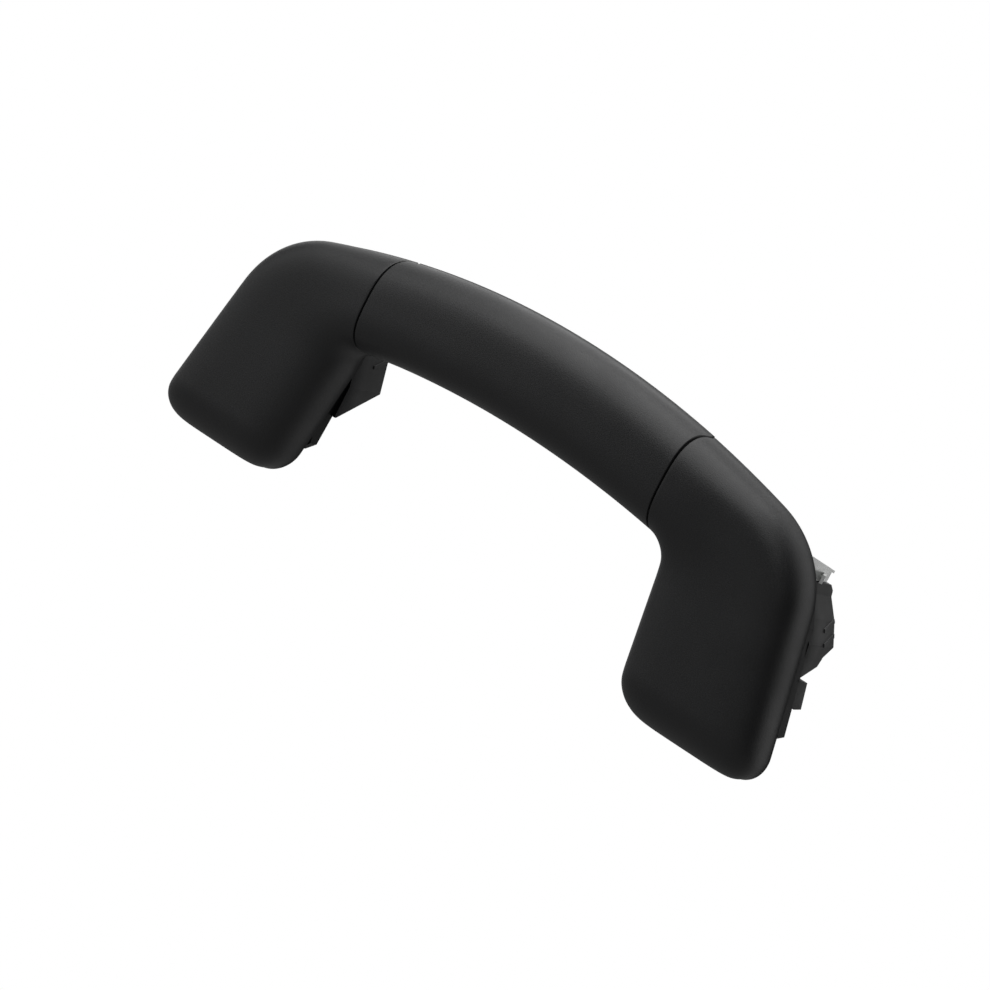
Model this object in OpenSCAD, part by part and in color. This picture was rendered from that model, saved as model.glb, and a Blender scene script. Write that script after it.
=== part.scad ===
// Folding roof grab handle on two sprung plug-in brackets.
// X runs along the handle, Y points into the roof, Z points from the pivots towards the grip.
// The origin lies midway between the two screw axes, in the plane where the brackets seat on the roof.

/* [Outline] */
// Height of the grip's outer arc above the foot of the legs
arch_h = 85.2; // [78:0.1:92]
// Radius of the grip's outer arc
arch_r = 289; // [240:1:360]
// Radius of the outer shoulder between grip and leg
shoulder_r = 31.5; // [24:0.5:36]
// Reach of the leg's outer edge beyond the screw axis, at the foot
leg_out = 29.2; // [25:0.1:36]
// Outward lean of the legs' outer edges, in degrees
splay_out = 12.2; // [8:0.1:14]
// Height of the hand gap above the foot of the legs
gap_h = 53; // [49:0.1:56]
// Radius of the grip's inner arc
gap_r = 334; // [280:1:400]
// Corner radius of the hand gap
gap_corner_r = 7.7; // [5:0.1:10]
// Reach of the leg's inner edge from the screw axis, at the foot
leg_in = 18.6; // [17:0.1:20]
// Lean of the legs' inner edges, in degrees
splay_in = 8.9; // [6:0.1:11]
// Distance from the screw axes to the seams
seam_in = 31; // [29:0.5:38]
// Height where the leg's straight sections begin
knee_z = 39; // [36:0.5:41]

/* [Section] */
// Depth of the legs from rim to front
leg_depth = 18; // [17.5:0.1:22]
// Depth of the grip from parting line to front
grip_depth = 17.1; // [16:0.1:20]
// Squareness of the leg's section
leg_square = 4.6; // [4:0.1:6]
// Squareness of the grip's section
grip_square = 2.8; // [2.2:0.1:3.4]
// Rise of the grip's rear cover
cover_rise = 3; // [2.2:0.1:4]
// Forward set of the grip's parting line
grip_set = 3.2; // [2:0.1:4]
// Forward bow of the whole handle at its middle
bow = 5.6; // [4:0.1:6]
// Corner radius of the foot, seen from the front
foot_corner_r = 10.3; // [8:0.1:12]
// Rounding between the foot and the front face
foot_round_r = 13.3; // [10:0.1:14]
// Wall of the moulded shells
wall = 2.2; // [1.8:0.1:2.4]
// Gap at the seams between the shells
seam_gap = 0.5; // [0.3:0.1:0.8]

/* [Bracket] */
// Half of the distance between the screw axes
screw_x = 87; // [80:0.5:95]
// Height of the screw axes above the foot of the legs
screw_z = 44; // [42:0.5:45]
// Distance from the handle's rim to the seat on the roof
rim_gap = 8; // [7.6:0.1:9]
// Inset of the bracket's base from the rim
base_inset = 1.7; // [1.5:0.1:3]
// Height of the base's lower end above the foot
base_low = 10.5; // [9:0.5:12]
// Depth of the plug behind the seat
plug_depth = 17; // [14:0.5:19]
// Wall of the hollow plug
plug_wall = 2.2; // [1.6:0.1:2.6]
// Slope of the plug's lower faces, in degrees
plug_slope = 32; // [26:1:36]
// Sheet of the steel spring clips
clip_t = 0.8; // [0.6:0.1:1]
// Radius of the screw's way through the sleeves
screw_r = 3.3; // [2.7:0.1:3.3]
// Wall of the steel sleeves
sleeve_wall = 1.5; // [1.2:0.1:1.7]

/* [Hinge] */
// Height of the hinge axis above the foot
hinge_z = 9.5; // [9.2:0.1:10]
// Distance of the hinge axis in front of the rim
hinge_y = 8; // [7.8:0.1:8.4]
// Radius of the steel hinge pins
pin_r = 2; // [1.6:0.1:2.1]
// Radial clearance of the pins in the bracket ears
pin_clear = 0.05; // [0.02:0.01:0.08]
// Outer radius of the eyes round the pins
eye_r = 4.6; // [4.2:0.1:4.7]
// Side clearance between handle lugs and bracket ears
side_clear = 0.3; // [0.2:0.05:0.4]
// Distance of the inner lugs from the screw axes
lug_in = 12.6; // [12:0.1:13]
// Thickness of each handle lug
lug_t = 3.6; // [3:0.1:4]
// Thickness of each bracket ear
ear_t = 4; // [3.4:0.1:4.4]
// Free width between a bracket's two ears
bay_w = 16; // [14:0.5:16.5]
// Radius of the spring's coil, to the middle of the wire
coil_r = 2.9; // [2.8:0.05:3.1]
// Radius of the spring wire
wire_r = 0.5; // [0.35:0.05:0.55]
// Number of turns of the return spring
coil_turns = 9; // [6:1:11]

/* [Beam] */
// Share of the grip's height that the carrier beam takes
beam_share = 0.497; // [0.4:0.001:0.54]
// Distance of the beam's rear face in front of the rim
beam_back = 9.7; // [9.4:0.1:10]
// Depth of the beam in the grip
beam_d = 9.8; // [8:0.1:10]
// Depth of the beam in the shoulders
yoke_d = 6; // [5:0.1:6.5]
// Wall of the beam's channel
beam_wall = 2.4; // [1.8:0.1:3]
// Distance of the grip screws from the middle
grip_screw_x = 30; // [20:1:40]

/* [Hidden] */
$fn = 64;

// Distances from the middle that follow the screws
foot_x = screw_x + leg_out;
gap_x = screw_x - leg_in;
seam_x = screw_x - seam_in;
lug_x = screw_x - lug_in;
beam_h = beam_share * (arch_h - gap_h);
// Steps round a shell section and along its parts
around = 22;
corner_steps = 12;
leg_steps = 11;
grip_steps = 14;
// Reach of the forward bow from the middle
bow_reach = 95;
// Share of the split face that the rear cover leaves free
cover_gap = 0.15;
cover_edge = 0.8;
cover_wall = 1.8;
cover_around = 10;
fit_gap = 0.3;
eps = 0.01;

outer_edge = [arch_h, arch_r, shoulder_r, foot_x, splay_out];
inner_edge = [gap_h, gap_r, gap_corner_r, gap_x, splay_in];

// An edge is an arc about the middle, a fillet and a straight leaning line down to the foot
function edge_mid(e) = e[0] - e[1];
function edge_up(e) = [-sin(e[4]), cos(e[4])];
function edge_in(e) = [-cos(e[4]), -sin(e[4])];
function edge_centre(e) =
    let(q = [e[3], 0] + e[2] * edge_in(e),
        w = q - [0, edge_mid(e)],
        b = w * edge_up(e),
        c = w * w - pow(e[1] - e[2], 2))
    q + (sqrt(b * b - c) - b) * edge_up(e);
function edge_turn(e) = let(c = edge_centre(e)) atan2(c.x, c.y - edge_mid(e));
function arc_len(r, a) = r * a * PI / 180;
function arc_ang(r, s) = s / r * 180 / PI;
function edge_s1(e) = arc_len(e[1], edge_turn(e));
function edge_s2(e) = edge_s1(e) + arc_len(e[2], 90 - e[4] - edge_turn(e));
function edge_knee(e) = edge_centre(e) - e[2] * edge_in(e);
function edge_at(e, s) =
    s < edge_s1(e) ? [e[1] * sin(arc_ang(e[1], s)), edge_mid(e) + e[1] * cos(arc_ang(e[1], s))] :
    s < edge_s2(e) ? let(a = edge_turn(e) + arc_ang(e[2], s - edge_s1(e)))
        edge_centre(e) + e[2] * [sin(a), cos(a)] :
    edge_knee(e) - (s - edge_s2(e)) * edge_up(e);
function edge_s_at_x(e, x) = arc_len(e[1], asin(x / e[1]));
function edge_s_at_z(e, z) = edge_s2(e) + (edge_knee(e).y - z) / cos(e[4]);
function edge_x(e, z) = e[3] - z * tan(e[4]);
function edge_z(e, x) = edge_mid(e) + sqrt(e[1] * e[1] - x * x);

// A station is [outer point, inner point, share of leg, height above the closed foot]
function ease(t) = t * t * (3 - 2 * t);
function grip_station(x) = [[x, edge_z(outer_edge, x)], [x, edge_z(inner_edge, x)], 0, 2 * arch_h];
function corner_station(t, x0) =
    let(a0 = edge_s_at_x(outer_edge, x0), b0 = edge_s_at_x(inner_edge, x0),
        a1 = edge_s_at_z(outer_edge, knee_z), b1 = edge_s_at_z(inner_edge, knee_z))
    [edge_at(outer_edge, a0 + t * (a1 - a0)), edge_at(inner_edge, b0 + t * (b1 - b0)), ease(t), 2 * arch_h];
function leg_station(q, w) =
    let(z = w + (knee_z - w) * pow(1 - q, 2))
    [[edge_x(outer_edge, z), z], [edge_x(inner_edge, z), z], 1, z - w];

// How far a rounding of radius r pulls the surface in at height h above the foot
function pull(r, h) = h < r ? r - sqrt(max(r * r - pow(r - h, 2), 0)) : 0;
function signed_pow(v, p) = sign(v) * pow(abs(v), p);
function rim_y(x, f) = -rim_gap - grip_set * (1 - f) - bow * max(0, 1 - pow(x / bow_reach, 2));

// A section is a superellipse from the outer rim round the front to the inner rim, w inside the skin
function section(st, w, n) =
    let(mid = (st[0] + st[1]) / 2,
        half = (st[0] - st[1]) / 2,
        len = norm(half) - w - pull(foot_corner_r - w, st[3]),
        dir = half / norm(half),
        f = st[2],
        deep = grip_depth + (leg_depth - grip_depth) * f - w - pull(foot_round_r - w, st[3]),
        sq = grip_square + (leg_square - grip_square) * f)
    [for (k = [0:n])
        let(a = 180 * k / n,
            u = signed_pow(cos(a), 2 / sq),
            v = pow(abs(sin(a)), 2 / sq),
            p = mid + u * len * dir)
        [p.x, rim_y(mid.x, f) - v * deep, p.y - screw_z]];

function flat_list(l) = [for (a = l) for (b = a) b];
function quad_faces(a, b, c, d) = [[a, b, c], [a, c, d]];

// A channel-shaped shell through matching outer and inner rings, closed at its last ring or open
module channel_shell(outer, inner, closed) {
    m = len(outer);
    n = len(outer[0]);
    k0 = m * n;
    skin = [for (i = [0:m - 2]) for (k = [0:n - 2])
        let(a = i * n + k)
        each concat(quad_faces(a, a + 1, a + n + 1, a + n),
                    quad_faces(k0 + a, k0 + a + n, k0 + a + n + 1, k0 + a + 1))];
    rims = [for (i = [0:m - 2])
        let(a = i * n, b = i * n + n - 1)
        each concat(quad_faces(a, a + n, k0 + a + n, k0 + a),
                    quad_faces(b, k0 + b, k0 + b + n, b + n))];
    start = [for (k = [0:n - 2]) each quad_faces(k, k0 + k, k0 + k + 1, k + 1)];
    last = (m - 1) * n;
    open_end = [for (k = [last:last + n - 2]) each quad_faces(k, k + 1, k0 + k + 1, k0 + k)];
    shut_end = concat([[for (k = [0:n - 1]) last + k]],
                      [[for (k = [n - 1:-1:0]) k0 + last + k]],
                      quad_faces(last, last + n - 1, k0 + last + n - 1, k0 + last));
    polyhedron(concat(flat_list(outer), flat_list(inner)),
               concat(skin, rims, start, closed ? shut_end : open_end));
}

// Right end shell: from the seam round the shoulder and down to the closed foot
module end_shell() {
    x0 = seam_x + seam_gap / 2;
    bend = [for (i = [0:corner_steps - 1]) corner_station(i / corner_steps, x0)];
    outer = concat([for (s = bend) section(s, 0, around)],
                   [for (i = [0:leg_steps]) section(leg_station(i / leg_steps, 0), 0, around)]);
    inner = concat([for (s = bend) section(s, wall, around)],
                   [for (i = [0:leg_steps]) section(leg_station(i / leg_steps, wall), wall, around)]);
    channel_shell(outer, inner, true);
}

// Front half of the grip between the seams
module grip_front() {
    x1 = seam_x - seam_gap / 2;
    st = [for (i = [0:grip_steps]) grip_station(x1 * (2 * i / grip_steps - 1))];
    channel_shell([for (s = st) section(s, 0, around)], [for (s = st) section(s, wall, around)], false);
}

// Rear cover of the grip: a shallow dish from edge to edge of the front half
function cover_ring(x, inner) =
    let(st = grip_station(x), zo = st[0].y, zi = st[1].y, zm = (zo + zi) / 2, hz = (zo - zi) / 2)
    [for (k = [0:cover_around])
        let(u = cos(180 * k / cover_around),
            top = cover_edge + (cover_rise - cover_edge) * (1 - pow(u, 4)),
            y = inner ? max(0, top - cover_wall) : top)
        [x, rim_y(x, 0) + cover_gap + y, zm + u * hz - screw_z]];
module grip_cover() {
    x1 = seam_x - seam_gap / 2;
    xs = [for (i = [0:grip_steps]) x1 * (2 * i / grip_steps - 1)];
    channel_shell([for (x = xs) cover_ring(x, true)], [for (x = xs) cover_ring(x, false)], false);
}

// Heights and depths of the bracket and hinge in the part's own frame
foot = -screw_z;
axis_y = -rim_gap - hinge_y;
axis_z = hinge_z - screw_z;
sweep_r = norm([hinge_y, hinge_z]) + 2 * fit_gap;
ear_x = lug_x + lug_t + side_clear;
bay_x = ear_x + ear_t;
ear2_x = bay_x + bay_w;
ears_end = ear2_x + ear_t;
lug2_x = ears_end + side_clear;
pin_end = lug2_x + lug_t;
post_y = axis_y + coil_r + wire_r + 0.2;
post_low = axis_z + sweep_r + 0.5;
post_top = 54 + foot;
base_front = fit_gap + 0.7 - rim_gap;
base_top = 58;
plug_low = 23.8;
step_low = 28.2;
outer_low = 31.1;
step_depth = 11.5;
split_x = screw_x + 11;
plug_top = 57;
neck_top = 62.3;
neck_half = 8.6;
neck_x = screw_x - 1;
neck_depth = 11.4;
neck_fall = 0.15;
clip_front = -5.6;
plug_floor = 2.4;
plug_flank = [[18.6, 38], [17.9, 41.6], [14.4, 48.2], [10, 53.8]];
plug_inside = [[-17.8, 44], [-20.4, 34.4]];
rib_z = [41.3, 45];
rib_l = 7.5;
rib_t = 1;
rib_h = 0.35;
rib_slope = 22;
sleeve_r = screw_r + sleeve_wall;
sleeve_end = plug_depth - 0.5;
cap_t = 1.6;
cap_half = 7.5;
spigot_r = 6.3;
spigot_l = 2;
ear_front = 3.7;
plate_gap = 0.5;
plate_t = 1.5;
plate_y = axis_y - ear_front - plate_gap - plate_t;
plate_low = hinge_z + 6;
yoke_r = 26;
yoke_x = seam_x + 2;
yoke_y = -rim_gap - beam_back;
stop_x = screw_x - 13;
stop_z = 50;
stop_r = 3.2;
pad_t = 2.6;
head_r = 2.6;
head_t = 1.5;
shank_r = 1.3;
recess = 0.6;
stop_boss_l = base_front - fit_gap - pad_t - yoke_y;
spring_leg = 13;
spring_tilt = atan((ear_front + plate_gap - coil_r - wire_r - 0.2) / spring_leg);
coil_step = 30;
wire_sides = 6;
damper_r = 5;
vane_r = 3.5;

// Lays a profile drawn in Y and Z along X
module along_x(x0, w) {
    translate([x0, 0, 0]) rotate([90, 0, 90]) linear_extrude(w) children();
}
// Lays a profile drawn in X and Z along Y
module along_y(y0, d) {
    translate([0, y0 + d, 0]) rotate([90, 0, 0]) linear_extrude(d) children();
}
module rod_x(x0, w, r) {
    translate([x0, axis_y, axis_z]) rotate([0, 90, 0]) cylinder(h = w, r = r);
}
module rod_y(x, z, y0, d, r) {
    translate([x, y0, z]) rotate([-90, 0, 0]) cylinder(h = d, r = r);
}
module left() {
    mirror([1, 0, 0]) children();
}

// Base: the leg's rim moved in, hollowed in front of the pivot where the foot swings through
module base_outline() {
    lo = base_low + foot;
    xo = edge_x(outer_edge, base_low) - base_inset;
    xk = edge_x(outer_edge, 46) - base_inset - 1;
    xi = edge_x(inner_edge, base_low) + base_inset;
    xt = edge_x(inner_edge, 40) + base_inset + 2;
    polygon([[xi + 3, lo], [xo - 7, lo], [xo - 1, lo + 5], [xk, 46 + foot], [xk - 6, base_top + foot],
             [xt + 8, base_top + foot], [xt + 1, 48 + foot], [xi, lo + 3]]);
}
module base_block() {
    difference() {
        along_y(base_front, -base_front) base_outline();
        rod_x(lug_x - 12, 60, sweep_r);
    }
}

// Ear: an eye round the pin and an arm that passes behind the swinging foot
module ear(x) {
    along_x(x, ear_t) translate([axis_y, axis_z]) {
        circle(eye_r);
        polygon([[-ear_front, 1], [-ear_front, sweep_r], [0, sweep_r + 11], [6, sweep_r + 14],
                 [6, sweep_r + 1], [3, sweep_r], [3, 1]]);
    }
}

// The plug narrows towards its top, seen from the front
module plug_outline(inset) {
    low = base_low + 8 + foot;
    top = plug_top - inset + foot;
    outer = [for (p = plug_flank) [screw_x + p.x - inset, p.y + foot]];
    inner = [for (p = plug_inside) [screw_x + p.x + inset, p.y + foot]];
    polygon(concat([[outer[0].x - 1.6, low]], outer, [[screw_x + 9.1 - inset, top], [screw_x - 14 + inset, top]],
                   inner, [[inner[1].x, low]]));
}
// Its lower faces slope up to the rear
module plug_side(low, deep, inset) {
    z0 = low + inset + foot;
    z1 = plug_top - inset + foot;
    polygon([[-1, z0], [0, z0], [deep, z0 + deep * tan(plug_slope)], [deep, z1 - 1.5], [deep - 2, z1], [-1, z1]]);
}
module plug_steps(inset) {
    x0 = gap_x - 4;
    along_x(x0, split_x - x0 - inset) plug_side(plug_low, plug_depth + inset, 1.2 * inset);
    along_x(split_x - 1, 14) plug_side(step_low, step_depth - inset, 1.2 * inset);
    along_x(split_x - 1, 14) plug_side(outer_low, plug_depth + inset, 1.2 * inset);
}
// Thin raised ribs on the rear half of the flanks
module plug_rib(z) {
    y0 = plug_depth - rib_l;
    y1 = plug_depth - 0.4;
    rise = (y1 - y0) * tan(rib_slope);
    intersection() {
        along_y(y0, y1 - y0) plug_outline(-rib_h);
        along_x(gap_x - 6, 50)
            polygon([[y0, z], [y1, z + rise], [y1, z + rib_t + rise], [y0, z + rib_t]]);
    }
}
module neck() {
    along_x(neck_x - neck_half, 2 * neck_half)
        polygon([[clip_front, plug_top - 2 + foot], [neck_depth, plug_top - 2 + foot],
                 [neck_depth, neck_top - neck_depth * neck_fall + foot],
                 [clip_front, neck_top - clip_front * neck_fall + foot]]);
}
module plug() {
    difference() {
        union() {
            intersection() {
                along_y(-1, plug_depth + 1) plug_outline(0);
                plug_steps(0);
            }
            for (z = rib_z) plug_rib(z + foot);
            neck();
        }
        intersection() {
            along_y(plug_floor, plug_depth) plug_outline(plug_wall);
            plug_steps(plug_wall);
        }
    }
}

// Right bracket in one moulding: base, ears, screw post, hollow plug and locating tab
module bracket() {
    difference() {
        union() {
            base_block();
            plug();
            along_y(post_y, base_front - post_y + 1)
                polygon([[ear_x, post_low], [ears_end, post_low], [ears_end, post_top - 10],
                         [ears_end - 4, post_top], [ear_x, post_top]]);
            for (x = [ear_x, ear2_x]) ear(x);
            rod_y(screw_x, 0, 0, plug_depth, sleeve_r + plug_wall);
            along_x(edge_x(outer_edge, 32) - base_inset - 4.2, 4)
                translate([0, foot]) polygon([[-1, 25], [6.1, 22.4], [11.2, 22.6], [5.7, 31], [-1, 31.5]]);
        }
        rod_x(ear_x - 1, ears_end - ear_x + 2, pin_r + pin_clear);
        rod_y(screw_x, 0, post_y - 1, plug_depth - post_y + 2, sleeve_r);
        rod_y(screw_x, 0, post_y - 1, 1 + spigot_l + 1, spigot_r + 0.1);
    }
}
module sleeve() {
    y0 = post_y + spigot_l + 1;
    difference() {
        rod_y(screw_x, 0, y0, sleeve_end - y0, sleeve_r);
        rod_y(screw_x, 0, y0 - 1, sleeve_end - y0 + 2, screw_r);
    }
}
// Snap-in cap over the screw
module cap() {
    difference() {
        union() {
            along_y(post_y - cap_t, cap_t) translate([screw_x, 0]) offset(1.5) square(2 * cap_half - 3, center = true);
            rod_y(screw_x, 0, post_y - 0.4, spigot_l + 0.4, spigot_r);
        }
        rod_y(screw_x, 0, post_y, spigot_l + 1, spigot_r - 1.2);
    }
}

// Spring clip: a folded steel channel over the neck, with a barb on each side
module spring_clip() {
    half = neck_half + 0.05;
    fall = neck_fall;
    top = neck_top + foot + 0.05;
    y0 = clip_front;
    y1 = neck_depth + 0.1;
    tip = y1 + clip_t + 1.7;
    low = plug_top + foot + 0.3;
    step = base_top + foot + 0.3;
    along_x(neck_x - half - clip_t, 2 * (half + clip_t)) {
        polygon([[y0, top - fall * y0], [tip, top - fall * tip],
                 [tip, top + clip_t - fall * tip], [y0, top + clip_t - fall * y0]]);
        translate([y1, low]) square([clip_t, top - fall * y1 - low]);
    }
    for (side = [-1, 1])
        translate([neck_x + side * (half + clip_t / 2), 0, 0]) {
            along_x(-clip_t / 2, clip_t)
                polygon([[y0, step], [0.3, step], [0.3, low], [y1 + clip_t, low],
                         [y1 + clip_t, top - fall * y1], [y0, top - fall * y0]]);
            translate([0, 0, low]) linear_extrude(2.6)
                polygon([[-side * clip_t / 2, y1 - 1.5], [side * clip_t / 2, y1 - 1.5],
                         [side * (clip_t / 2 + 2.6), 3.2], [side * (clip_t / 2 + 1.8), 2.6]]);
        }
}

// Carrier beam: channel through the grip, yokes round the shoulders, plates and lugs in the legs
function mid_z(x) = (edge_z(outer_edge, x) + edge_z(inner_edge, x)) / 2;
module channel_arc(r, h, d, a0, a1) {
    rotate([90, 0, 0]) rotate_extrude(angle = a1 - a0, start = a0) translate([r, 0]) difference() {
        translate([-h / 2, 0]) square([h, d]);
        translate([beam_wall - h / 2, -1]) square([h - 2 * beam_wall, d - beam_wall + 1]);
    }
}
module beam_rib(cx, cz, r, h, d, a) {
    translate([cx, yoke_y, cz]) rotate([0, -a, 0])
        translate([r - h / 2 + 1, -d + 1, -0.8]) cube([h - 2, d - 1.6, 1.6]);
}
module grip_beam() {
    drop = mid_z(0) - mid_z(yoke_x);
    r = (yoke_x * yoke_x + drop * drop) / (2 * drop);
    a = asin(yoke_x / r);
    cz = mid_z(0) - r + foot;
    translate([0, yoke_y, cz]) channel_arc(r, beam_h, beam_d, 90 - a, 90 + a);
    for (k = [-4:4]) beam_rib(0, cz, r, beam_h, beam_d, 90 + k * a / 4.6);
    for (x = [-grip_screw_x, grip_screw_x]) rod_y(x, mid_z(x) + foot, yoke_y - beam_d + 1, beam_d - 1, shank_r + 2);
}
module leg_frame() {
    cz = mid_z(yoke_x) - yoke_r;
    translate([yoke_x, yoke_y, cz + foot]) channel_arc(yoke_r, beam_h, yoke_d, -4, 90);
    for (a = [12, 34, 56, 78]) beam_rib(yoke_x, cz + foot, yoke_r, beam_h, yoke_d, a);
    lo = plate_low + foot;
    xo = lug2_x + lug_t;
    along_y(plate_y, plate_t)
        polygon([[lug_x, lo], [xo, lo], [xo, lo + 5], [xo - 5, lo + 10], [yoke_x + yoke_r + beam_h / 2, cz + 5 + foot],
                 [yoke_x + yoke_r - beam_h / 2, cz + 5 + foot], [lug_x - 2, lo + 14], [lug_x, lo + 6]]);
    for (x = [lug_x, lug2_x])
        along_x(x, lug_t) translate([axis_y, axis_z]) {
            circle(eye_r);
            polygon([[-eye_r, 0], [plate_y - axis_y, 6], [plate_y - axis_y, 13], [plate_y - axis_y + plate_t, 14],
                     [1, 6], [eye_r, 0]]);
        }
    rod_y(stop_x, stop_z + foot, yoke_y - 1, 1 + stop_boss_l, stop_r + 0.4);
}
module core_beam() {
    difference() {
        union() {
            grip_beam();
            leg_frame();
            left() leg_frame();
        }
        for (side = [-1, 1]) {
            mid = side * (lug_x + pin_end) / 2;
            rod_x(mid - (pin_end - lug_x) / 2 - 1, pin_end - lug_x + 2, pin_r);
            rod_y(side * grip_screw_x, mid_z(grip_screw_x) + foot, yoke_y - beam_d + 2, beam_d, shank_r);
        }
    }
}
module stop_pad() {
    rod_y(stop_x, stop_z + foot, base_front - fit_gap - pad_t, pad_t, stop_r);
}
// Steel pin with chamfered ends
module hinge_pin() {
    c = 0.4;
    l = pin_end - lug_x;
    translate([lug_x, axis_y, axis_z]) rotate([0, 90, 0])
        rotate_extrude() polygon([[0, 0], [pin_r - c, 0], [pin_r, c], [pin_r, l - c], [pin_r - c, l], [0, l]]);
}

// Two pan-head screws hold the rear cover to the beam
function screw_seat(x) = rim_y(x, 0) + cover_gap + cover_rise - recess;
module grip_screw(x) {
    y0 = screw_seat(x);
    z = mid_z(x) + foot;
    end = yoke_y - beam_d + 2.2;
    translate([x, y0, z]) rotate([-90, 0, 0]) rotate_extrude()
        polygon([[0, 0], [head_r, 0], [head_r, head_t * 0.5], [head_r * 0.75, head_t], [0, head_t]]);
    rod_y(x, z, end, y0 - end + eps, shank_r);
}
module grip_screws() {
    for (x = [-grip_screw_x, grip_screw_x]) grip_screw(x);
}
module rear_cover() {
    difference() {
        grip_cover();
        for (x = [-grip_screw_x, grip_screw_x])
            let(z = mid_z(x) + foot) {
                rod_y(x, z, screw_seat(x) - 4, 6, shank_r + 0.3);
                rod_y(x, z, screw_seat(x), 4, head_r + 0.5);
            }
    }
}

// Return spring: a coil round the left pin with one leg on the post and one on the leg plate
function coil_point(x, a, r) = [x, axis_y + r * cos(a), axis_z + r * sin(a)];
function wire_ring(c, a) =
    [for (k = [0:wire_sides - 1])
        let(b = 360 * k / wire_sides)
        c + wire_r * [sin(b), cos(b) * cos(a), cos(b) * sin(a)]];
module spring_coil() {
    turn = 360 * coil_turns + 180 - spring_tilt;
    n = ceil(turn / coil_step);
    x0 = bay_x + 0.3 + wire_r;
    x1 = ear2_x - 0.3 - wire_r;
    a1 = -turn;
    up = spring_leg * [0, -sin(spring_tilt), cos(spring_tilt)];
    rings = concat([wire_ring(coil_point(x0, 0, coil_r) + [0, 0, spring_leg], 0)],
                   [for (i = [0:n])
                       let(t = i / n)
                       wire_ring(coil_point(x0 + t * (x1 - x0), a1 * t, coil_r), a1 * t)],
                   [wire_ring(coil_point(x1, a1, coil_r) + up, a1)]);
    m = len(rings);
    w = wire_sides;
    sides = [for (i = [0:m - 2]) for (k = [0:w - 1])
        let(a = i * w + k, b = i * w + (k + 1) % w)
        each quad_faces(a, b, b + w, a + w)];
    polyhedron(flat_list(rings), concat(sides, [[for (k = [w - 1:-1:0]) k]], [[for (k = [0:w - 1]) (m - 1) * w + k]]));
}

// Rotary damper round the right pin: a keyed housing on the bracket and a vaned rotor on the pin
module damper_case() {
    x0 = bay_x + 0.1;
    w = bay_w - 0.2;
    difference() {
        union() {
            rod_x(x0, w, damper_r);
            along_x(x0 + 3, w - 6) translate([axis_y - 1, axis_z]) square([4, sweep_r + 0.4]);
        }
        rod_x(x0 - 1, w + 2, pin_r + pin_clear);
        rod_x(x0 + 1.2, w - 2.4, vane_r + fit_gap);
    }
}
module damper_vanes() {
    x0 = bay_x + 1.6;
    w = bay_w - 3.2;
    difference() {
        union() {
            rod_x(x0, w, pin_r + 0.8);
            along_x(x0, w) translate([axis_y, axis_z]) square([1.4, 2 * vane_r - 0.1], center = true);
        }
        rod_x(x0 - 1, w + 2, pin_r);
    }
}

module right_end_shell() { color("#232426") end_shell(); }
module left_end_shell() { color("#232426") left() end_shell(); }
module grip_front_shell() { color("#232426") grip_front(); }
module grip_rear_cover() { color("#232426") rear_cover(); }
module carrier() { color("#3a3c3e") core_beam(); }
module steel_pin() { color("silver") hinge_pin(); }
module zinc_screws() { color("#9b9da0") grip_screws(); }
module rubber_pad() { color("#17181a") stop_pad(); }
module black_bracket() { color("#2b2c2e") bracket(); }
module bright_clip() { color("#c9ccce") spring_clip(); }
module steel_sleeve() { color("#a7aaad") sleeve(); }
module black_cap() { color("#26272a") cap(); }
module wire_spring() { color("#8f9295") spring_coil(); }
module damper_housing() { color("#d8d6cc") damper_case(); }
module damper_rotor() { color("#3a3c3e") damper_vanes(); }

carrier();  // core_beam
grip_front_shell();
grip_rear_cover();
left_end_shell();
right_end_shell();
left() steel_pin();  // left_hinge_pin
steel_pin();  // right_hinge_pin
zinc_screws();  // grip_screws
left() rubber_pad();  // left_stop_pad
rubber_pad();  // right_stop_pad
left() black_bracket();  // left_bracket
left() bright_clip();  // left_spring_clip
left() steel_sleeve();  // left_screw_sleeve
left() black_cap();  // left_screw_cap
left() wire_spring();  // return_spring
black_bracket();  // right_bracket
bright_clip();  // right_spring_clip
steel_sleeve();  // right_screw_sleeve
black_cap();  // right_screw_cap
damper_housing();
damper_rotor();
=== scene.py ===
import bmesh
import bpy
import numpy as np
from mathutils import Matrix, Vector


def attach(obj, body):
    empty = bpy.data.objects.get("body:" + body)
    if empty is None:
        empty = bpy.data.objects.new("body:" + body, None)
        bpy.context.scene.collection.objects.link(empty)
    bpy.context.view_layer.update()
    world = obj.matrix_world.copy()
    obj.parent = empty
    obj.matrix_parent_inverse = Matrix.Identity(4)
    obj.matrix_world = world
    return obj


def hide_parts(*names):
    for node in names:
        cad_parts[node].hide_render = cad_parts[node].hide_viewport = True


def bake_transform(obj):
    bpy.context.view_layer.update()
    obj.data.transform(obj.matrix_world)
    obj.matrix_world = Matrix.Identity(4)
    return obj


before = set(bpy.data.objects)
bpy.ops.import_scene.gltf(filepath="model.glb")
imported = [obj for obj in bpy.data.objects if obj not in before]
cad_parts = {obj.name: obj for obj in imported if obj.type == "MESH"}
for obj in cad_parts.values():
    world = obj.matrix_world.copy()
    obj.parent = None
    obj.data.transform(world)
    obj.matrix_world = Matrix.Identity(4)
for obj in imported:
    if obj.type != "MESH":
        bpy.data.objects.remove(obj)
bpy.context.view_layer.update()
mm = 0.001
mergeReach, sliverReach = 2e-6, 1e-7
print("frame loaded:", len(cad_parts), "nodes")

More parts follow.
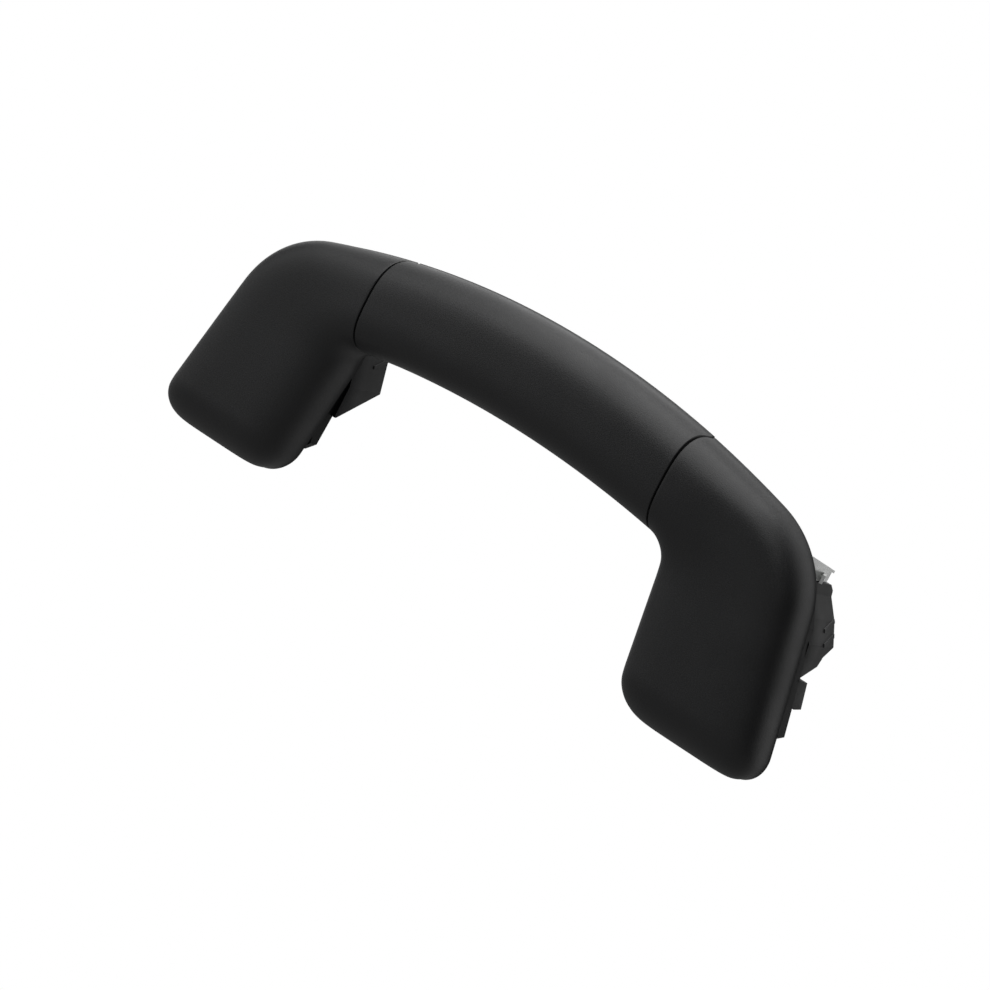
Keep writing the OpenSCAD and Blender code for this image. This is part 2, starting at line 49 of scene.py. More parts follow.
# The handle's outline, in millimetres and degrees; heights are counted from the foot of the legs
handle = {
    "outer": {"height": 85.2, "radius": 289.0, "corner": 31.5, "foot": 116.2, "lean": 12.2},
    "inner": {"height": 53.0, "radius": 334.0, "corner": 7.7, "foot": 68.4, "lean": 8.9},
    "seam": 56.0, "seamGap": 0.5, "knee": 39.0,
    "legDepth": 18.0, "gripDepth": 17.1, "legSquare": 4.6, "gripSquare": 2.8,
    "gripSet": 3.2, "bow": 5.6, "bowReach": 95.0, "rimGap": 8.0, "screwHeight": 44.0,
    "footCorner": 10.3, "footRound": 13.3, "wall": 2.2,
    "flare": 0.45, "flareLength": 0.9, "crowding": 0.055, "shoulderLength": 60.0, "farFromFoot": 200.0,
}


# Mesh helpers

def addPiece(name, verts, faces, smoothAngle=35.0):
    # Verts in millimetres; doubles at poles are merged, faces steeper than the angle stay crisp
    mesh = bpy.data.meshes.new(name)
    mesh.from_pydata((np.asarray(verts) * mm).tolist(), [], np.asarray(faces).tolist())
    piece = bpy.data.objects.new(name, mesh)
    bpy.context.scene.collection.objects.link(piece)
    cleanMesh(piece, smoothAngle)
    return piece


def cleanMesh(piece, smoothAngle):
    # Doubles and slivers go, faces look outward
    work = bmesh.new()
    work.from_mesh(piece.data)
    bmesh.ops.remove_doubles(work, verts=work.verts, dist=mergeReach)
    bmesh.ops.dissolve_degenerate(work, edges=work.edges, dist=sliverReach)
    bmesh.ops.recalc_face_normals(work, faces=work.faces)
    work.to_mesh(piece.data)
    work.free()
    piece.data.polygons.foreach_set("use_smooth", np.ones(len(piece.data.polygons), bool))
    piece.data.set_sharp_from_angle(angle=np.radians(smoothAngle))
    piece.data.update()


def gridFaces(rows, cols):
    # Quads of a rows x cols grid, row after row; each row is a closed loop
    i = np.arange(rows - 1)[:, None]
    k = np.arange(cols)[None, :]
    i2, k2 = i + 1, (k + 1) % cols
    return np.stack([i * cols + k, i * cols + k2, i2 * cols + k2, i2 * cols + k], -1).reshape(-1, 4)


def bevelEdges(piece, width, segments=3, angle=38.0):
    # Rounds the edges that are sharper than the angle
    rim = piece.modifiers.new("roundedEdges", "BEVEL")
    rim.width = width * mm
    rim.segments = segments
    rim.limit_method = "ANGLE"
    rim.angle_limit = np.radians(angle)


# Outline curves: an arc about the middle, a corner arc tangent to it and a straight leaning line

def edgeShape(edge):
    lean = np.radians(edge["lean"])
    up = np.array([-np.sin(lean), np.cos(lean)])
    inward = np.array([-np.cos(lean), -np.sin(lean)])
    mid = np.array([0.0, edge["height"] - edge["radius"]])
    start = np.array([edge["foot"], 0.0]) + edge["corner"] * inward
    w = start - mid
    b = w @ up
    c = w @ w - (edge["radius"] - edge["corner"]) ** 2
    centre = start + (np.sqrt(b * b - c) - b) * up
    turn = np.arctan2(centre[0], centre[1] - mid[1])
    s1 = edge["radius"] * turn
    s2 = s1 + edge["corner"] * (np.pi / 2 - lean - turn)
    return {"mid": mid, "radius": edge["radius"], "corner": edge["corner"], "centre": centre,
            "turn": turn, "s1": s1, "s2": s2, "knee": centre - edge["corner"] * inward,
            "up": up, "lean": lean, "foot": edge["foot"]}


def edgePoints(e, s):
    # Point at length s from the middle: on the arc, then on the corner, then down the straight line
    arc = e["mid"] + e["radius"] * np.stack([np.sin(s / e["radius"]), np.cos(s / e["radius"])], -1)
    a = e["turn"] + (s - e["s1"]) / e["corner"]
    corner = e["centre"] + e["corner"] * np.stack([np.sin(a), np.cos(a)], -1)
    line = e["knee"] - (s - e["s2"])[:, None] * e["up"]
    return np.where((s < e["s1"])[:, None], arc, np.where((s < e["s2"])[:, None], corner, line))


outerEdge = edgeShape(handle["outer"])
innerEdge = edgeShape(handle["inner"])


def edgeHeight(e, x):
    # Height of the big arc at x
    return e["mid"][1] + np.sqrt(e["radius"] ** 2 - x ** 2)


def pull(radius, depth):
    # How far a rounding draws the skin in at a given depth below its start
    d = np.clip(depth, 0.0, radius)
    return radius - np.sqrt(np.maximum(radius ** 2 - (radius - d) ** 2, 0.0))


def rimY(x, share):
    # The rim bows away from the roof by bow * (1 - (x / bowReach)^2), on the grip by gripSet more
    return (-handle["rimGap"] - handle["gripSet"] * (1 - share)
            - handle["bow"] * np.maximum(0.0, 1 - (x / handle["bowReach"]) ** 2))


def gripStations(xs):
    # Both edges at the same x, no share of the leg, endless height above the foot
    return {"outer": np.stack([xs, edgeHeight(outerEdge, xs)], -1),
            "inner": np.stack([xs, edgeHeight(innerEdge, xs)], -1),
            "share": np.zeros_like(xs), "height": np.full_like(xs, handle["farFromFoot"])}


def shoulderStations(t):
    # Both edges run on by equal shares of their length from the seam to the knee
    x0 = handle["seam"] + handle["seamGap"] / 2

    def lengths(e):
        first = e["radius"] * np.arcsin(x0 / e["radius"])
        last = e["s2"] + (e["knee"][1] - handle["knee"]) / np.cos(e["lean"])
        return first + t * (last - first)
    return {"outer": edgePoints(outerEdge, lengths(outerEdge)),
            "inner": edgePoints(innerEdge, lengths(innerEdge)),
            "share": t * t * (3 - 2 * t), "height": np.full_like(t, handle["farFromFoot"])}


def legStations(q, inset):
    # Level cuts through the leg, closer together towards the foot
    z = inset + (handle["knee"] - inset) * (1 - q) ** 2
    return {"outer": np.stack([outerEdge["foot"] - z * np.tan(outerEdge["lean"]), z], -1),
            "inner": np.stack([innerEdge["foot"] - z * np.tan(innerEdge["lean"]), z], -1),
            "share": np.ones_like(z), "height": z - inset}


def joinStations(*parts):
    return {key: np.concatenate([p[key] for p in parts]) for key in parts[0]}


def sectionGrid(st, inset, cols, shrink=0.0, flare=0.0):
    # Superellipse from the outer rim round the front to the inner rim:
    # u = cos(a)^(2/n), v = sin(a)^(2/n), drawn in by the inset and by the foot's roundings;
    # the flanks lie flare * (1 - exp(-d / length)) * (1 - v)^2 inside that, d being their
    # distance to the rim
    share = st["share"][:, None]
    square = handle["gripSquare"] + (handle["legSquare"] - handle["gripSquare"]) * share
    q = np.linspace(0.0, 1.0, cols)
    # Closer points by the rims and at the crown
    q = (q - handle["crowding"] * np.sin(4 * np.pi * q) / 2)[None, :]
    side = np.minimum(q, 1 - q)
    quarter = np.where(side < 0.25, np.pi / 4 * (4 * side) ** (square / 2),
                       np.pi / 2 - np.pi / 4 * (2 - 4 * side) ** (square / 2))
    u = np.where(q < 0.5, 1.0, -1.0) * np.abs(np.cos(quarter)) ** (2 / square)
    u = np.where(side == 0.5, 0.0, u)
    v = np.abs(np.sin(quarter)) ** (2 / square)
    mid = (st["outer"] + st["inner"]) / 2
    half = (st["outer"] - st["inner"]) / 2
    length = np.linalg.norm(half, axis=1)
    reach = length - inset - shrink - pull(handle["footCorner"] - inset, st["height"])
    depth = (handle["gripDepth"] + (handle["legDepth"] - handle["gripDepth"]) * st["share"]
             - inset - shrink - pull(handle["footRound"] - inset, st["height"]))
    along = half / length[:, None]
    drawn = flare * (1 - np.exp(-v * depth[:, None] / handle["flareLength"])) * (1 - v) ** 2
    span = u * (reach[:, None] - drawn)
    x = mid[:, :1] + span * along[:, :1]
    z = mid[:, 1:] + span * along[:, 1:]
    y = rimY(mid[:, 0], st["share"])[:, None] - v * depth[:, None]
    return np.stack([x, y, z - handle["screwHeight"]], -1)


def shellLoop(outerGrid, innerGrid):
    # Outer skin, over the rim, inner skin and back: one closed loop per row
    return np.concatenate([outerGrid, innerGrid[:, ::-1]], axis=1)


def closeRows(rows, cols):
    # End strips between outer and inner skin of an open end
    half = cols // 2
    k = np.arange(half - 1)
    start = np.stack([k, cols - 1 - k, cols - 2 - k, k + 1], -1)
    base = (rows - 1) * cols
    return start, base + start[:, ::-1]


def makeEndShell(name, side, detail):
    # Shoulder and leg sections in one loft; side -1 mirrors it
    shoulder = handle["shoulderLength"]
    quarter = np.linspace(0.0, np.pi / 2, detail["seamSteps"])
    seamT = detail["seamRound"] * (1 - np.cos(quarter)) / shoulder
    bend = np.concatenate([seamT, np.linspace(seamT[-1], 1.0, detail["bendSteps"] + 1)[1:-1]])
    leg = np.linspace(0.0, 1.0, detail["legSteps"])
    outer = joinStations(shoulderStations(bend), legStations(leg, 0.0))
    inner = joinStations(shoulderStations(bend), legStations(leg, handle["wall"]))
    shrink = pull(detail["seamRound"], np.concatenate([bend * shoulder, np.full(len(leg), shoulder)]))
    skin = sectionGrid(outer, 0.0, detail["around"], shrink, handle["flare"])
    lining = sectionGrid(inner, handle["wall"], detail["around"])
    # The floor of the foot: the last section drawn in to the middle of its rim
    t = np.linspace(1.0, 0.0, detail["floorSteps"])[1:, None, None]
    floors = []
    for grid in (skin, lining):
        rim = (grid[-1, 0] + grid[-1, -1]) / 2
        floors.append(np.concatenate([grid, rim + t * (grid[-1] - rim)]))
    loop = shellLoop(*floors)
    rows, cols = loop.shape[:2]
    start, _ = closeRows(rows, cols)
    faces = np.concatenate([gridFaces(rows, cols), start])
    verts = loop.reshape(-1, 3) * np.array([side, 1.0, 1.0])
    shell = addPiece(name, verts, faces)
    bevelEdges(shell, detail["rimRound"])
    return shell


endShell = {"around": 97, "seamSteps": 4, "bendSteps": 60, "legSteps": 56, "floorSteps": 10,
            "seamRound": 0.32, "rimRound": 0.42}
rightShell = makeEndShell("rightEndShellSkin", 1.0, endShell)
leftShell = makeEndShell("leftEndShellSkin", -1.0, endShell)
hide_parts("right_end_shell")
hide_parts("left_end_shell")
for shell in (rightShell, leftShell):
    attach(shell, "handle")
print("end shells made")

# Front half of the grip, between the two seams
gripFront = {"around": 97, "steps": 72, "seamSteps": 5, "seamRound": 0.32, "rimRound": 0.42}


def makeGripFront(detail):
    # Straight run of grip sections, rounded in at both seams
    x1 = handle["seam"] - handle["seamGap"] / 2
    edge = x1 - detail["seamRound"] * np.sin(np.linspace(0.0, np.pi / 2, detail["seamSteps"]))
    xs = np.concatenate([edge, np.linspace(edge[-1], -edge[-1], detail["steps"])[1:-1], -edge[::-1]])
    st = gripStations(xs)
    shrink = pull(detail["seamRound"], x1 - np.abs(xs))
    loop = shellLoop(sectionGrid(st, 0.0, detail["around"], shrink, handle["flare"]),
                     sectionGrid(st, handle["wall"], detail["around"]))
    rows, cols = loop.shape[:2]
    start, end = closeRows(rows, cols)
    faces = np.concatenate([gridFaces(rows, cols), start, end])
    shell = addPiece("gripFrontSkin", loop.reshape(-1, 3), faces)
    bevelEdges(shell, detail["rimRound"])
    return shell


frontShell = makeGripFront(gripFront)
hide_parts("grip_front_shell")
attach(frontShell, "handle")

# Rear cover of the grip: a shallow dish, top = edge + (rise - edge)(1 - u^4), two sunk screw holes
rearCover = {"rise": 3.0, "edge": 0.8, "wall": 1.8, "gap": 0.15, "around": 41, "steps": 72,
             "screwX": 30.0, "holeRadius": 1.6, "seatRadius": 3.1, "recess": 0.6}


def makeRearCover(detail):
    # Outer and inner surface of the dish as one closed loop at each x
    x1 = handle["seam"] - handle["seamGap"] / 2
    xs = np.linspace(x1, -x1, detail["steps"])
    zo, zi = edgeHeight(outerEdge, xs)[:, None], edgeHeight(innerEdge, xs)[:, None]
    u = np.cos(np.linspace(0.0, np.pi, detail["around"]))[None, :]
    top = detail["edge"] + (detail["rise"] - detail["edge"]) * (1 - u ** 4)

    def ring(height):
        x = np.broadcast_to(xs[:, None], (len(xs), u.shape[1]))
        y = rimY(xs, 0.0)[:, None] + detail["gap"] + np.broadcast_to(height, x.shape)
        z = (zo + zi) / 2 + u * (zo - zi) / 2 - handle["screwHeight"]
        return np.stack([x, y, z], -1)
    loop = shellLoop(ring(top), ring(np.maximum(0.0, top - detail["wall"])))
    rows, cols = loop.shape[:2]
    start, end = closeRows(rows, cols)
    faces = np.concatenate([gridFaces(rows, cols), start, end])
    return addPiece("gripRearSkin", loop.reshape(-1, 3), faces)


coverShell = makeRearCover(rearCover)
print("grip shells made")


def cutHoles(piece, holes, radius, low=-6.0, high=6.0, sides=32):
    # Round holes along Y from low to high of their places, cut once and kept in the mesh
    turn = np.linspace(0.0, 2 * np.pi, sides, endpoint=False)
    ring = np.stack([np.cos(turn), np.zeros_like(turn), np.sin(turn)], -1) * radius
    for x, y, z in holes:
        verts = np.concatenate([ring + (x, y + low, z), ring + (x, y + high, z)])
        k = np.arange(sides)
        after = (k + 1) % sides
        faces = np.stack([k, after, after + sides, k + sides], -1).tolist()
        faces += [list(range(sides - 1, -1, -1)), list(range(sides, 2 * sides))]
        mesh = bpy.data.meshes.new("drill")
        mesh.from_pydata((verts * mm).tolist(), [], faces)
        drill = bpy.data.objects.new("drill", mesh)
        bpy.context.scene.collection.objects.link(drill)
        cleanMesh(drill, 40.0)
        cut = piece.modifiers.new("cut", "BOOLEAN")
        cut.operation, cut.solver, cut.object = "DIFFERENCE", "EXACT", drill
        bpy.context.view_layer.update()
        settled = piece.evaluated_get(bpy.context.evaluated_depsgraph_get())
        result = bpy.data.meshes.new_from_object(settled)
        piece.modifiers.clear()
        piece.data = result
        bpy.data.objects.remove(drill)
    cleanMesh(piece, 35.0)


screwX = rearCover["screwX"]
gripMiddle = float((edgeHeight(outerEdge, screwX) + edgeHeight(innerEdge, screwX)) / 2)
screwY, screwZ = float(rimY(screwX, 0.0)), gripMiddle - handle["screwHeight"]
screwPlaces = [(side * screwX, screwY, screwZ) for side in (-1, 1)]
headSeat = rearCover["gap"] + rearCover["rise"] - rearCover["recess"]
cutHoles(coverShell, screwPlaces, rearCover["holeRadius"])
cutHoles(coverShell, screwPlaces, rearCover["seatRadius"], headSeat)
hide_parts("grip_rear_cover")
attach(coverShell, "handle")
print("rear cover drilled")

# Return spring: a round wire carried along a helix, with a straight leg at each end
spring = {"coil": 2.9, "wire": 0.5, "turns": 9, "leg": 13.0, "tilt": 3.0, "x0": -83.1, "x1": -97.5,
          "axisY": -16.0, "axisZ": -34.5, "steps": 36, "legSteps": 14, "sides": 14}


def makeSpring(s):
    # Path: up the first leg, round the pin while x runs from x0 to x1, up the second leg
    tilt = np.radians(s["tilt"])
    total = -(2 * np.pi * s["turns"] + np.pi - tilt)
    t = np.linspace(0.0, 1.0, int(s["steps"] * s["turns"]))
    a = total * t
    coil = np.stack([s["x0"] + t * (s["x1"] - s["x0"]), s["axisY"] + s["coil"] * np.cos(a),
                     s["axisZ"] + s["coil"] * np.sin(a)], -1)
    up = np.array([0.0, -np.sin(tilt), np.cos(tilt)])
    lift = np.linspace(s["leg"], 0.0, s["legSteps"], endpoint=False)[:, None]
    path = np.concatenate([coil[0] + lift * np.array([0.0, 0.0, 1.0]), coil, coil[-1] + lift[::-1] * up])
    ahead = np.gradient(path, axis=0)
    ahead /= np.linalg.norm(ahead, axis=1)[:, None]
    side = np.cross(ahead, np.array([1.0, 0.0, 0.0]))
    side /= np.linalg.norm(side, axis=1)[:, None]
    other = np.cross(ahead, side)
    b = np.linspace(0.0, 2 * np.pi, s["sides"], endpoint=False)[None, :, None]
    rings = path[:, None] + s["wire"] * (np.cos(b) * side[:, None] + np.sin(b) * other[:, None])
    rings = np.concatenate([np.broadcast_to(path[:1, None], rings[:1].shape), rings,
                            np.broadcast_to(path[-1:, None], rings[:1].shape)])
    rows, cols = rings.shape[:2]
    return addPiece("returnSpringWire", rings.reshape(-1, 3), gridFaces(rows, cols), 50.0)


springWire = makeSpring(spring)
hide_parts("return_spring")
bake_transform(springWire)
print("spring made")


# Materials: node helpers, then one function for each finish

def newFinish(name):
    finish = bpy.data.materials.new(name)
    finish.use_nodes = True
    tree = finish.node_tree
    tree.nodes.clear()
    out = tree.nodes.new("ShaderNodeOutputMaterial")
    shader = tree.nodes.new("ShaderNodeBsdfPrincipled")
    place = tree.nodes.new("ShaderNodeTexCoord")
    tree.links.new(shader.outputs[0], out.inputs[0])
    return finish, tree, shader, place.outputs["Object"]


def addNoise(tree, place, scale, detail=3.0, stretch=None):
    # Noise in Object coordinates, drawn out along an axis where stretch is given
    if stretch is not None:
        mapping = tree.nodes.new("ShaderNodeMapping")
        mapping.inputs["Scale"].default_value = stretch
        tree.links.new(place, mapping.inputs["Vector"])
        place = mapping.outputs[0]
    noise = tree.nodes.new("ShaderNodeTexNoise")
    noise.inputs["Scale"].default_value = scale
    noise.inputs["Detail"].default_value = detail
    tree.links.new(place, noise.inputs["Vector"])
    return noise.outputs["Fac"]


def addCells(tree, place, scale):
    # Soft pebbles in Object coordinates
    cells = tree.nodes.new("ShaderNodeTexVoronoi")
    cells.feature = "SMOOTH_F1"
    cells.inputs["Scale"].default_value = scale
    cells.inputs["Smoothness"].default_value = 0.6
    tree.links.new(place, cells.inputs["Vector"])
    return cells.outputs["Distance"]


def spread(tree, value, low, high, fromLow=0.3, fromHigh=0.7):
    # Maps a value evenly onto low to high
    ranger = tree.nodes.new("ShaderNodeMapRange")
    for key, number in (("From Min", fromLow), ("From Max", fromHigh), ("To Min", low), ("To Max", high)):
        ranger.inputs[key].default_value = number
    tree.links.new(value, ranger.inputs["Value"])
    return ranger.outputs["Result"]


def blendColours(tree, value, first, second, fromLow=0.3, fromHigh=0.7):
    ramp = tree.nodes.new("ShaderNodeValToRGB")
    ramp.color_ramp.elements[0].position, ramp.color_ramp.elements[1].position = fromLow, fromHigh
    ramp.color_ramp.elements[0].color = (*first, 1.0)
    ramp.color_ramp.elements[1].color = (*second, 1.0)
    tree.links.new(value, ramp.inputs["Fac"])
    return ramp.outputs["Color"]


def addBump(tree, heights, rounding=0.0):
    # Heights in metres, laid over one another; rounding softens a CAD solid's sharp edges
    normal = None
    if rounding:
        soft = tree.nodes.new("ShaderNodeBevel")
        soft.samples = 6
        soft.inputs["Radius"].default_value = rounding
        normal = soft.outputs[0]
    for value, depth in heights:
        bump = tree.nodes.new("ShaderNodeBump")
        bump.inputs["Strength"].default_value = 1.0
        bump.inputs["Distance"].default_value = depth
        tree.links.new(value, bump.inputs["Height"])
        if normal is not None:
            tree.links.new(normal, bump.inputs["Normal"])
        normal = bump.outputs[0]
    return normal


def softTouchBlack(look, rounding=0.0):
    # Near-black skin with a fine pebbled grain and a faint unevenness in its sheen
    finish, tree, shader, place = newFinish(look["name"])
    grain = addCells(tree, place, look["grainScale"])
    fine = addNoise(tree, place, look["fineScale"], 4.0)
    broad = addNoise(tree, place, look["broadScale"], 4.0)
    tree.links.new(blendColours(tree, broad, look["dark"], look["light"]), shader.inputs["Base Color"])
    tree.links.new(spread(tree, broad, look["roughLow"], look["roughHigh"]), shader.inputs["Roughness"])
    normal = addBump(tree, [(grain, look["grainDepth"]), (fine, look["fineDepth"])], rounding)
    tree.links.new(normal, shader.inputs["Normal"])
    if "paintedShadeBelow" in look:
        # Painted shade: the flange in front of the roof, which lies in the shadow of the shell's rim,
        # gets a lower specular level than the plug; the level grows along Y
        axes = tree.nodes.new("ShaderNodeSeparateXYZ")
        tree.links.new(place, axes.inputs[0])
        sheen = spread(tree, axes.outputs["Y"], look["shadedFlangeSpecular"], look["specular"], look["paintedShadeBelow"],
                       look["paintedShadeAbove"])
        tree.links.new(sheen, shader.inputs["Specular IOR Level"])
    else:
        shader.inputs["Specular IOR Level"].default_value = look["specular"]
    return finish


def brushedMetal(look, rounding=0.0):
    # Metal with fine lines along X and a slight clouding
    finish, tree, shader, place = newFinish(look["name"])
    lines = addNoise(tree, place, look["lineScale"], 5.0, look["stretch"])
    cloud = addNoise(tree, place, look["cloudScale"], 3.0)
    tree.links.new(blendColours(tree, cloud, look["dark"], look["light"]), shader.inputs["Base Color"])
    tree.links.new(spread(tree, lines, look["roughLow"], look["roughHigh"]), shader.inputs["Roughness"])
    tree.links.new(addBump(tree, [(lines, look["lineDepth"])], rounding), shader.inputs["Normal"])
    shader.inputs["Metallic"].default_value = look["metal"]
    return finish


# Finishes: colours are linear, scales are per metre, depths in metres
skinLook = {"name": "softTouchSkin", "specular": 0.5,
            "dark": (0.0095, 0.0098, 0.0105), "light": (0.0125, 0.0128, 0.0135),
            "roughLow": 0.46, "roughHigh": 0.54, "broadScale": 60.0,
            "grainScale": 2900.0, "grainDepth": 0.000028, "fineScale": 4200.0, "fineDepth": 0.00003}
bracketLook = {"name": "ribbedBracketBlack", "specular": 0.5,
               "dark": (0.005, 0.0052, 0.0056), "light": (0.008, 0.0083, 0.0088),
               # Painted shade: a lower specular level on the flange by the roof, standing in for the
               # shadow of the shell's rim
               "shadedFlangeSpecular": 0.14, "paintedShadeBelow": 0.0, "paintedShadeAbove": 0.006,
               "roughLow": 0.46, "roughHigh": 0.6, "broadScale": 90.0,
               "grainScale": 900.0, "grainDepth": 0.000006, "fineScale": 3200.0, "fineDepth": 0.000006}
beamLook = {"name": "fibreFilledBeam", "specular": 0.45,
            "dark": (0.02, 0.021, 0.022), "light": (0.036, 0.037, 0.039),
            "roughLow": 0.42, "roughHigh": 0.62, "broadScale": 240.0,
            "grainScale": 700.0, "grainDepth": 0.000012, "fineScale": 2600.0, "fineDepth": 0.000012}
capLook = dict(skinLook, name="screwCapSkin", roughLow=0.5, roughHigh=0.58)
padLook = {"name": "stopPadRubber", "specular": 0.3,
           "dark": (0.012, 0.012, 0.012), "light": (0.017, 0.017, 0.017),
           "roughLow": 0.72, "roughHigh": 0.86, "broadScale": 200.0,
           "grainScale": 1800.0, "grainDepth": 0.00001, "fineScale": 6000.0, "fineDepth": 0.00001}
damperLook = {"name": "damperAcetal", "specular": 0.5,
              "dark": (0.62, 0.6, 0.54), "light": (0.7, 0.68, 0.62),
              "roughLow": 0.3, "roughHigh": 0.4, "broadScale": 120.0,
              "grainScale": 500.0, "grainDepth": 0.000005, "fineScale": 3000.0, "fineDepth": 0.000004}
clipLook = {"name": "platedClipSteel", "metal": 0.5,
            "dark": (0.8, 0.81, 0.8), "light": (0.9, 0.91, 0.9),
            "roughLow": 0.24, "roughHigh": 0.42, "cloudScale": 160.0,
            "lineScale": 900.0, "stretch": (0.06, 1.0, 1.0), "lineDepth": 0.000006}
pinLook = {"name": "turnedPinSteel", "metal": 1.0,
           "dark": (0.4, 0.4, 0.41), "light": (0.55, 0.55, 0.56),
           "roughLow": 0.2, "roughHigh": 0.38, "cloudScale": 220.0,
           "lineScale": 2600.0, "stretch": (1.0, 0.08, 0.08), "lineDepth": 0.000004}

edgeRounding = 0.00028
skin = softTouchBlack(skinLook)
bracketBlack = softTouchBlack(bracketLook, edgeRounding / 2)
beamBlack = softTouchBlack(beamLook, edgeRounding)
capSkin = softTouchBlack(capLook, edgeRounding)
padRubber = softTouchBlack(padLook, edgeRounding)
damperPlastic = softTouchBlack(damperLook, edgeRounding)
clipSteel = brushedMetal(clipLook, edgeRounding / 3)
pinSteel = brushedMetal(pinLook, edgeRounding / 3)


def dress(objects, finish):
    # One finish in every material slot
    for o in objects:
        if not o.data.materials:
            o.data.materials.append(finish)
        for i in range(len(o.material_slots)):
            o.material_slots[i].material = finish


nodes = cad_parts
dress([rightShell, leftShell, frontShell, coverShell], skin)
dress([nodes["left_bracket"], nodes["right_bracket"]], bracketBlack)
dress([nodes["core_beam"], nodes["damper_rotor"]], beamBlack)
dress([nodes["left_screw_cap"], nodes["right_screw_cap"]], capSkin)
dress([nodes["left_stop_pad"], nodes["right_stop_pad"]], padRubber)
dress([nodes["damper_housing"]], damperPlastic)
dress([nodes["left_spring_clip"], nodes["right_spring_clip"]], clipSteel)
turned = ("left_hinge_pin", "right_hinge_pin", "grip_screws", "left_screw_sleeve", "right_screw_sleeve")
dress([springWire] + [nodes[n] for n in turned], pinSteel)
print("materials made")

# Camera: yaw, pitch and roll in degrees, distance and target in millimetres, shift in image widths
shot = {"yaw": 28.4, "pitch": 8.43, "roll": 27.44, "distance": 843.1, "target": (0.0, -18.0, -4.0),
        "lens": 105.77, "sensor": 36.0, "shift": (0.00077, -0.0284), "near": 0.05, "far": 50.0}


def shotAxes(s):
    # Right, up and forward of the camera, turned by yaw, then pitch, then roll
    yaw, pitch, roll = (np.radians(s[k]) for k in ("yaw", "pitch", "roll"))
    forward = np.array([-np.sin(yaw) * np.cos(pitch), np.cos(yaw) * np.cos(pitch), -np.sin(pitch)])
    right = np.array([np.cos(yaw), np.sin(yaw), 0.0])
    up = np.cross(right, forward)
    return (np.cos(roll) * right + np.sin(roll) * up, -np.sin(roll) * right + np.cos(roll) * up,
            forward)


camRight, camUp, camForward = shotAxes(shot)
target = np.array(shot["target"]) * mm
camera = bpy.data.objects.new("camera", bpy.data.cameras.new("camera"))
bpy.context.scene.collection.objects.link(camera)
camera.matrix_world = Matrix.Translation(Vector(target - shot["distance"] * mm * camForward)) @ Matrix(
    np.stack([camRight, camUp, -camForward], -1).tolist()).to_4x4()
camera.data.sensor_width = shot["sensor"]
camera.data.lens = shot["lens"]
camera.data.shift_x, camera.data.shift_y = shot["shift"]
camera.data.clip_start, camera.data.clip_end = shot["near"], shot["far"]
bpy.context.scene.camera = camera

# Lights: soft boxes, sizes in metres and powers in watts, placed by the camera's right, up and back
boxes = {
    "topFront": {"place": (0.0, 0.85, 0.55), "size": (1.2, 0.8), "power": 6.2},
    "topRight": {"place": (0.45, 0.88, 0.0), "size": (0.8, 0.8), "power": 4.9},
    "topLeft": {"place": (-0.7, 0.75, 0.1), "size": (1.0, 0.8), "power": 2.0},
    "topBack": {"place": (0.05, 0.98, -0.35), "size": (1.4, 0.8), "power": 1.6},
    "farRight": {"place": (0.6, 0.8, -0.6), "size": (1.0, 0.8), "power": 1.0},
    "rightBack": {"place": (0.9, 0.1, -0.4), "size": (0.8, 0.9), "power": 1.2},
    "leftSide": {"place": (-0.95, 0.1, 0.2), "size": (0.8, 0.9), "power": 0.4},
    "behind": {"place": (0.0, 0.6, -1.1), "size": (1.2, 0.7), "power": 1.5},
}
for boxName, box in boxes.items():
    lamp = bpy.data.lights.new(boxName, "AREA")
    lamp.shape, lamp.energy = "RECTANGLE", box["power"]
    lamp.size, lamp.size_y = box["size"]
    softBox = bpy.data.objects.new(boxName, lamp)
    bpy.context.scene.collection.objects.link(softBox)
    a, b, c = box["place"]
    spot = target + a * camRight + b * camUp - c * camForward
    softBox.location = spot
    softBox.rotation_mode = "QUATERNION"
    softBox.rotation_quaternion = Vector(target - spot).to_track_quat("-Z", "Y")


def paleShade(tree, seen, cast, kind):
    # The camera sees an even pale tone; every other ray gets a softer light
    path = tree.nodes.new("ShaderNodeLightPath")
    mix = tree.nodes.new("ShaderNodeMixShader")
    shown, given = tree.nodes.new(kind), tree.nodes.new(kind)
    for shade in (shown, given):
        shade.inputs["Color"].default_value = (1.0, 1.0, 1.0, 1.0)
    shown.inputs["Strength"].default_value = seen
    tree.links.new(cast, given.inputs["Strength"])
    tree.links.new(path.outputs["Is Camera Ray"], mix.inputs[0])
    tree.links.new(given.outputs[0], mix.inputs[1])
    tree.links.new(shown.outputs[0], mix.inputs[2])
    return mix.outputs[0]


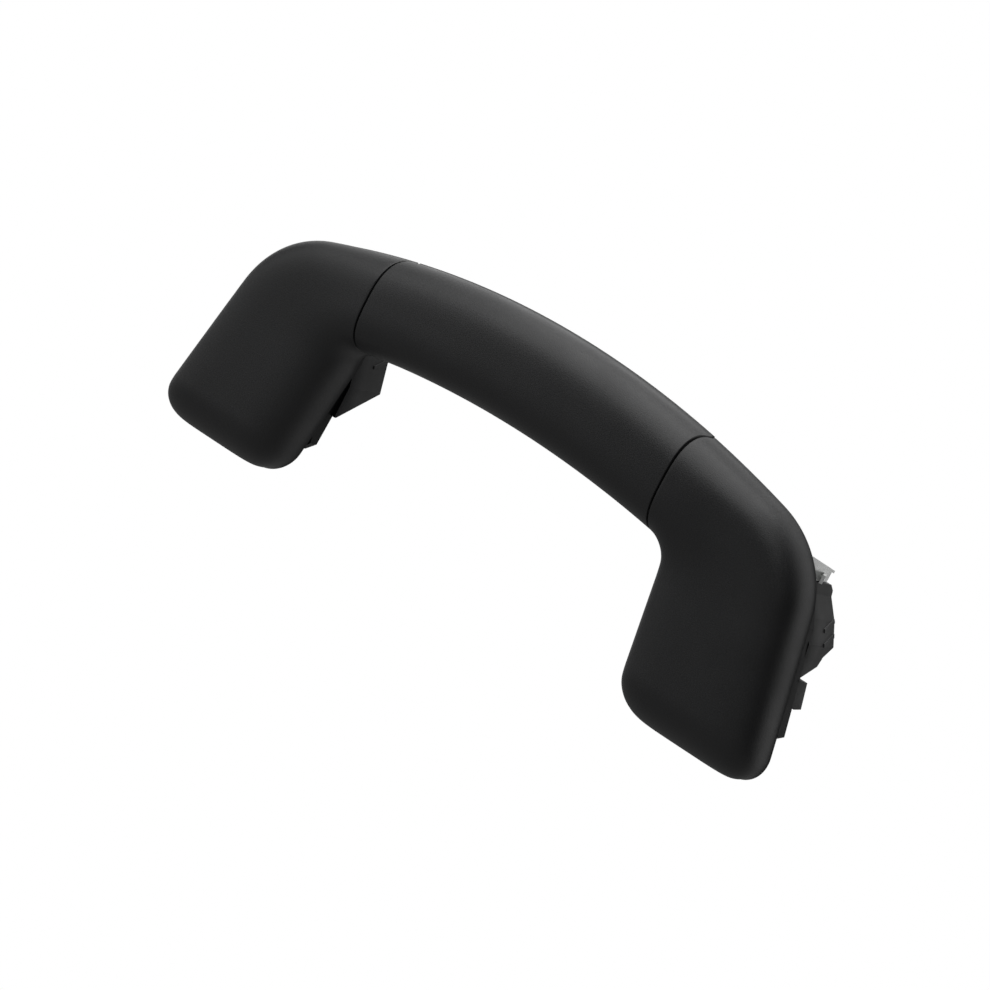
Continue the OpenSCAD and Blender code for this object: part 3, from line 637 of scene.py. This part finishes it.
surround = {"skySeen": 1.0, "skyFront": 0.01, "skyBack": 0.8, "turnFrom": 0.7, "turnTo": 1.0,
            "floorSeen": 1.0, "floorCast": 0.24, "floorFar": 0.8, "farFrom": 0.5, "farTo": 2.2,
            "floorZ": -0.32, "reach": 12.0}
world = bpy.data.worlds.new("studio")
bpy.context.scene.world = world
world.use_nodes = True
world.node_tree.nodes.clear()
worldOut = world.node_tree.nodes.new("ShaderNodeOutputWorld")


def alongView(tree, output, low, high, fromLow, fromHigh):
    # Grows from low to high along the camera's direction
    place = tree.nodes.new("ShaderNodeTexCoord")
    facing = tree.nodes.new("ShaderNodeVectorMath")
    facing.operation = "DOT_PRODUCT"
    facing.inputs[1].default_value = camForward.tolist()
    tree.links.new(place.outputs[output], facing.inputs[0])
    return spread(tree, facing.outputs["Value"], low, high, fromLow, fromHigh)


# The room is bright far behind the handle and dim elsewhere
dimming = alongView(world.node_tree, "Generated", surround["skyFront"], surround["skyBack"],
                    surround["turnFrom"], surround["turnTo"])
skyShade = paleShade(world.node_tree, surround["skySeen"], dimming, "ShaderNodeBackground")
world.node_tree.links.new(skyShade, worldOut.inputs[0])
floorMesh = bpy.data.meshes.new("floor")
floorCorners = [(x * surround["reach"], y * surround["reach"], surround["floorZ"])
                for x, y in ((-1, -1), (1, -1), (1, 1), (-1, 1))]
floorMesh.from_pydata(floorCorners, [], [(0, 1, 2, 3)])
floor = bpy.data.objects.new("floor", floorMesh)
bpy.context.scene.collection.objects.link(floor)
floorPaint = bpy.data.materials.new("paleFloor")
floorPaint.use_nodes = True
floorPaint.node_tree.nodes.clear()
floorOut = floorPaint.node_tree.nodes.new("ShaderNodeOutputMaterial")
floorGlow = alongView(floorPaint.node_tree, "Object", surround["floorCast"], surround["floorFar"],
                      surround["farFrom"], surround["farTo"])
floorShade = paleShade(floorPaint.node_tree, surround["floorSeen"], floorGlow, "ShaderNodeEmission")
floorPaint.node_tree.links.new(floorShade, floorOut.inputs[0])
floorMesh.materials.append(floorPaint)
bpy.context.scene.view_settings.view_transform = "Standard"
print("camera, lights and floor set")
